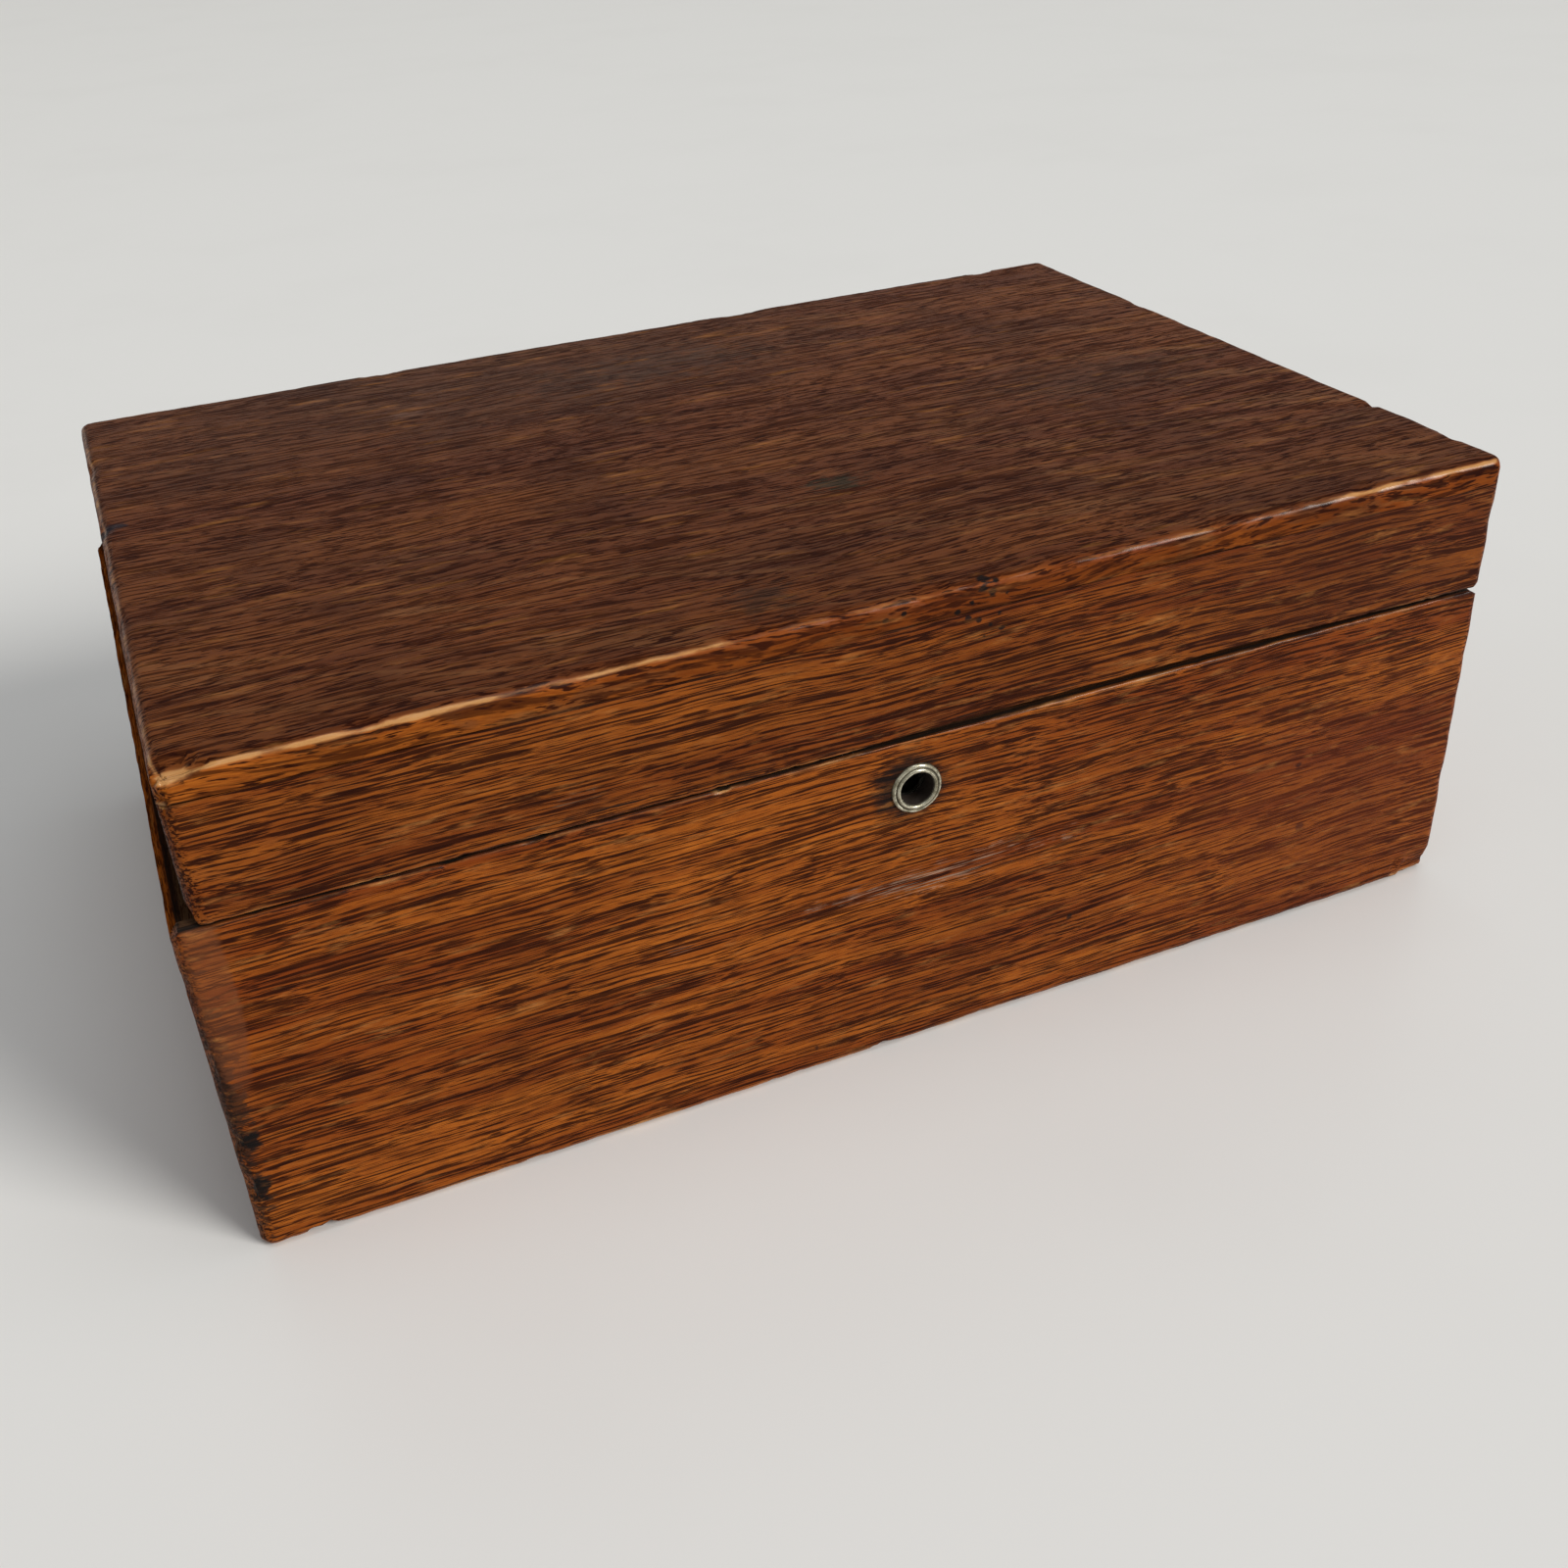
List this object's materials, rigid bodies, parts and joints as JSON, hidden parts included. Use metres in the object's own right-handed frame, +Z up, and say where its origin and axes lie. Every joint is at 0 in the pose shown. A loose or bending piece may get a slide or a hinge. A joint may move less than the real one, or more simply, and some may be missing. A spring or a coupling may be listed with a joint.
{
  "type": "cigar humidor",
  "caption": "Oak cigar humidor with a hinged shallow lid, opal glass lining, keyhole bush, box lock, butt hinges and a moistener that slides out under the lid.",
  "frame": {"origin": "middle of the underside of the base", "axes": "+Z up, +X to the right along the front, +Y towards the hinges at the back"},
  "size_m": [0.28, 0.1915, 0.1053],
  "materials": {
    "oak": "worn varnish over open-pored quartered oak",
    "opal_glass": "polished opaque white",
    "nickel": "aged nickel plate",
    "brass": "tarnished brass",
    "steel": "dull steel",
    "clay": "porous fired clay"
  },
  "bodies": {
    "base": {"base_back_board": "oak", "base_bottom_board": "oak", "base_front_board": "oak", "base_glass_back": "opal_glass", "base_glass_floor": "opal_glass", "base_glass_front": "opal_glass", "base_glass_left": "opal_glass", "base_glass_right": "opal_glass", "base_hinge_screws": "brass", "base_left_board": "oak", "base_right_board": "oak", "hinge_leaf_base_left": "brass", "hinge_leaf_base_right": "brass", "hinge_pin_left": "steel", "hinge_pin_right": "steel", "keyhole_bush": "nickel", "lock_cap": "steel", "lock_key_post": "steel", "lock_plate": "steel", "lock_screws": "steel", "lock_spring": "steel"},
    "lid": {"lid_top_board": "oak", "lid_front_board": "oak", "lid_back_board": "oak", "lid_left_board": "oak", "lid_right_board": "oak", "lid_glass_top": "opal_glass", "lid_glass_front": "opal_glass", "lid_glass_back": "opal_glass", "lid_glass_left": "opal_glass", "lid_glass_right": "opal_glass", "hinge_leaf_lid_left": "brass", "hinge_leaf_lid_right": "brass", "lid_hinge_screws": "brass", "link_plate": "steel", "link_plate_screws": "steel", "moistener_rails": "nickel", "moistener_rail_screws": "steel"},
    "bolt": {"lock_bolt": "steel"},
    "moistener": {"moistener_case": "nickel", "moistener_grille": "nickel", "moistener_block": "clay"}
  },
  "joints": [
    {"name": "lid_hinge", "type": "hinge", "parent": "base", "child": "lid", "pos_m": [0, 0.09125, 0.0752], "axis": [-1, 0, 0], "range_deg": [0, 95]},
    {"name": "lock_bolt_slide", "type": "slide", "parent": "base", "child": "bolt", "axis": [1, 0, 0], "range_m": [0, 0.004]},
    {"name": "moistener_slide", "type": "slide", "parent": "lid", "child": "moistener", "axis": [1, 0, 0], "range_m": [0, 0.055]}
  ]
}
